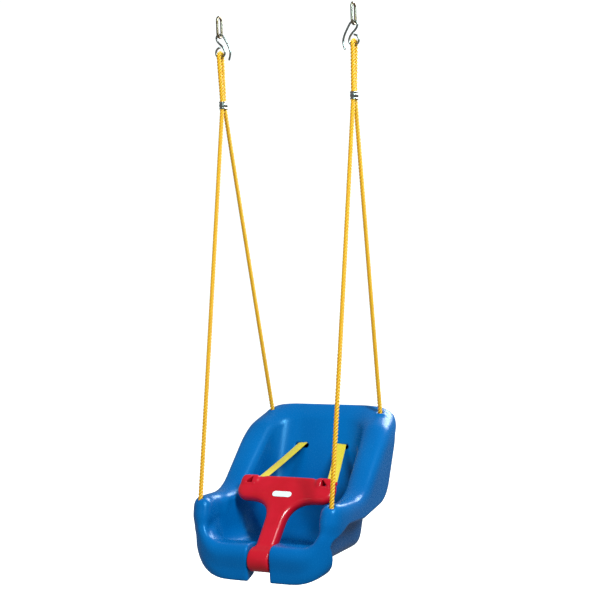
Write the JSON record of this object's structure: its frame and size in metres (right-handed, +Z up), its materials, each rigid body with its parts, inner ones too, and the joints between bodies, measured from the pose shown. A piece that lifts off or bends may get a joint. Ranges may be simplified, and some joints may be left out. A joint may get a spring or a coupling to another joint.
{
  "type": "toddler bucket swing",
  "caption": "Hanging bucket seat for a toddler, with a rolled rim, two-legged ropes on hooks, a swing-down T-shaped bar in a front notch and two webbing straps.",
  "frame": {"origin": "halfway between the bearing points at the top of the two hanger links", "axes": "+X to the seated child's left, +Y to the back of the seat, +Z up"},
  "size_m": [0.4, 0.4437, 1.3396],
  "materials": {
    "seat": "blow-moulded polyethylene, lightly grained, semi-gloss",
    "tbar": "glossy moulded plastic",
    "rope": "twisted three-strand polypropylene",
    "webbing": "woven flat webbing",
    "steel": "zinc-plated wire",
    "zinc": "zinc-plated",
    "washer": "black nylon",
    "label": "blank white plate"
  },
  "bodies": {
    "hangers": {"hanger_left": "zinc", "hanger_right": "zinc"},
    "hooks": {"hook_left": "steel", "hook_right": "steel"},
    "seat": {"ferrule_left": "steel", "ferrule_right": "steel", "rope_left": "rope", "rope_right": "rope", "rope_knot_front_left": "rope", "rope_knot_front_right": "rope", "rope_knot_rear_left": "rope", "rope_knot_rear_right": "rope", "rope_washer_front_left": "zinc", "rope_washer_front_right": "zinc", "rope_washer_rear_left": "zinc", "rope_washer_rear_right": "zinc", "seat_shell": "seat", "t_bar_axle": "zinc", "axle_washer_left": "washer", "axle_washer_right": "washer", "strap_anchor_left": "washer", "strap_anchor_right": "washer"},
    "t_bar": {"t_bar": "tbar", "label_plate": "label"},
    "strap_left": {"strap_left": "webbing", "strap_tab_left": "tbar"},
    "strap_right": {"strap_right": "webbing", "strap_tab_right": "tbar"}
  },
  "joints": [
    {"name": "hooks_swing", "type": "hinge", "parent": "hangers", "child": "hooks", "pos_m": [0, 0, -0.0412], "axis": [1, 0, 0], "range_deg": [-50, 50]},
    {"name": "seat_rock", "type": "hinge", "parent": "hooks", "child": "seat", "pos_m": [0, 0, -0.094], "axis": [1, 0, 0], "range_deg": [-15, 15]},
    {"name": "t_bar_swing", "type": "hinge", "parent": "seat", "child": "t_bar", "pos_m": [0, -0.207, -1.286], "axis": [1, 0, 0], "range_deg": [0, 150]},
    {"name": "strap_lift_left", "type": "hinge", "parent": "seat", "child": "strap_left", "pos_m": [-0.0556, 0.13069, -1.06919], "axis": [-1, 0, 0], "range_deg": [0, 45]},
    {"name": "strap_lift_right", "type": "hinge", "parent": "seat", "child": "strap_right", "pos_m": [0.0556, 0.13069, -1.06919], "axis": [-1, 0, 0], "range_deg": [0, 45]}
  ]
}
